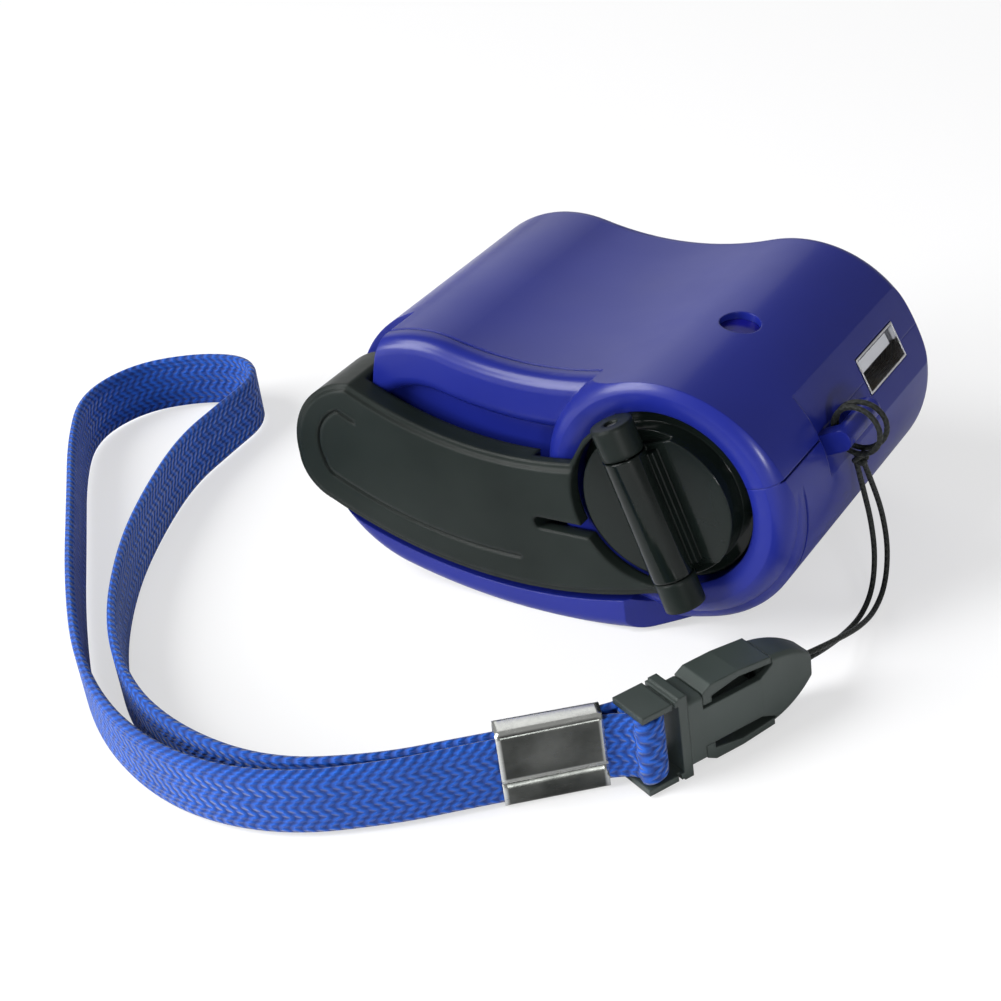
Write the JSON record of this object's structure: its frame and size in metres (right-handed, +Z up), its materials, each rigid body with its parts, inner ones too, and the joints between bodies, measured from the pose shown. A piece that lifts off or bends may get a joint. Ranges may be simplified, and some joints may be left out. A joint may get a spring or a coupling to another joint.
{
  "type": "hand crank phone charger",
  "caption": "Hand crank phone charger: a waisted dynamo housing with a folding crank on its front, a USB socket at one end and a wrist strap with a release buckle.",
  "frame": {"origin": "on the surface the charger stands on, under the middle of its box without the strap and cord", "axes": "+X towards the USB socket end, -Y is the crank side, +Z up"},
  "size_m": [0.153, 0.1129, 0.041],
  "materials": {
    "housing_blue": "gloss, injection moulded ABS",
    "crank_black": "satin",
    "screw_steel": "plain",
    "bronze": "plain",
    "lens_blue": "clear tinted",
    "lamp_clear": "clear",
    "socket_steel": "nickel plated",
    "socket_white": "plain",
    "contact_gold": "plated",
    "board_green": "solder mask",
    "capacitor_black": "sleeved",
    "ferrite": "plain",
    "chip_black": "plain",
    "frame_grey": "plain",
    "can_steel": "zinc plated",
    "cap_black": "plain",
    "gear_white": "acetal",
    "cord_black": "braided cord",
    "strap_blue": "woven tape",
    "crimp_chrome": "polished"
  },
  "bodies": {
    "housing": {"top_shell": "housing_blue", "bottom_shell": "housing_blue", "shell_screws": "screw_steel", "shaft_bush": "bronze", "lamp_lens": "lens_blue", "lamp_body": "lamp_clear", "usb_shell": "socket_steel", "usb_tongue": "socket_white", "usb_contacts": "contact_gold", "circuit_board": "board_green", "capacitor": "capacitor_black", "inductor": "ferrite", "regulator_chip": "chip_black", "gear_axles": "screw_steel", "gear_plate": "frame_grey", "generator_can": "can_steel", "generator_cap": "cap_black", "generator_terminals": "contact_gold", "cord_hitch": "cord_black", "cord_strand_1": "cord_black", "cord_strand_2": "cord_black", "buckle_socket": "crank_black"},
    "crank": {"crank_disc": "crank_black", "hinge_pin": "screw_steel", "crank_shaft": "screw_steel", "drive_gear": "gear_white"},
    "arm": {"crank_arm": "crank_black", "knob_axle": "screw_steel"},
    "knob": {"grip_knob": "crank_black"},
    "gear_1": {"compound_gear_1": "gear_white"},
    "gear_2": {"compound_gear_2": "gear_white"},
    "rotor": {"generator_pinion": "bronze", "rotor_shaft": "screw_steel"},
    "strap": {"buckle_plug": "crank_black", "upper_prong": "crank_black", "lower_prong": "crank_black", "strap_tail": "strap_blue", "strap_crimp": "crimp_chrome", "wrist_strap": "strap_blue"}
  },
  "joints": [
    {"name": "crank_spin", "type": "hinge", "parent": "housing", "child": "crank", "pos_m": [0.02, -0.02415, 0.023], "axis": [0, 1, 0], "range_deg": [0, 180]},
    {"name": "arm_fold", "type": "hinge", "parent": "crank", "child": "arm", "pos_m": [0.02, -0.02635, 0.023], "axis": [-0.3123, 0, 0.95], "range_deg": [0, 180]},
    {"name": "knob_spin", "type": "hinge", "parent": "arm", "child": "knob", "pos_m": [-0.0354, -0.0168, 0.021], "axis": [0, 1, 0], "continuous": true},
    {"name": "gear_1_spin", "type": "hinge", "parent": "housing", "child": "gear_1", "pos_m": [0.00191, -0.0095, 0.0205], "axis": [0, 1, 0], "continuous": true},
    {"name": "gear_2_spin", "type": "hinge", "parent": "housing", "child": "gear_2", "pos_m": [-0.01346, -0.0045, 0.0235], "axis": [0, 1, 0], "continuous": true},
    {"name": "rotor_spin", "type": "hinge", "parent": "housing", "child": "rotor", "pos_m": [-0.02397, -0.0035, 0.0187], "axis": [0, 1, 0], "continuous": true},
    {"name": "buckle_release", "type": "slide", "parent": "housing", "child": "strap", "axis": [-0.4289, -0.9033, 0], "range_m": [0, 0.016], "deforming": ["upper_prong", "lower_prong"]}
  ],
  "couplings": [
    {"joint": "gear_1_spin", "follows": "crank_spin", "ratio": -3.3333},
    {"joint": "gear_2_spin", "follows": "crank_spin", "ratio": 11.111},
    {"joint": "rotor_spin", "follows": "crank_spin", "ratio": -40}
  ]
}
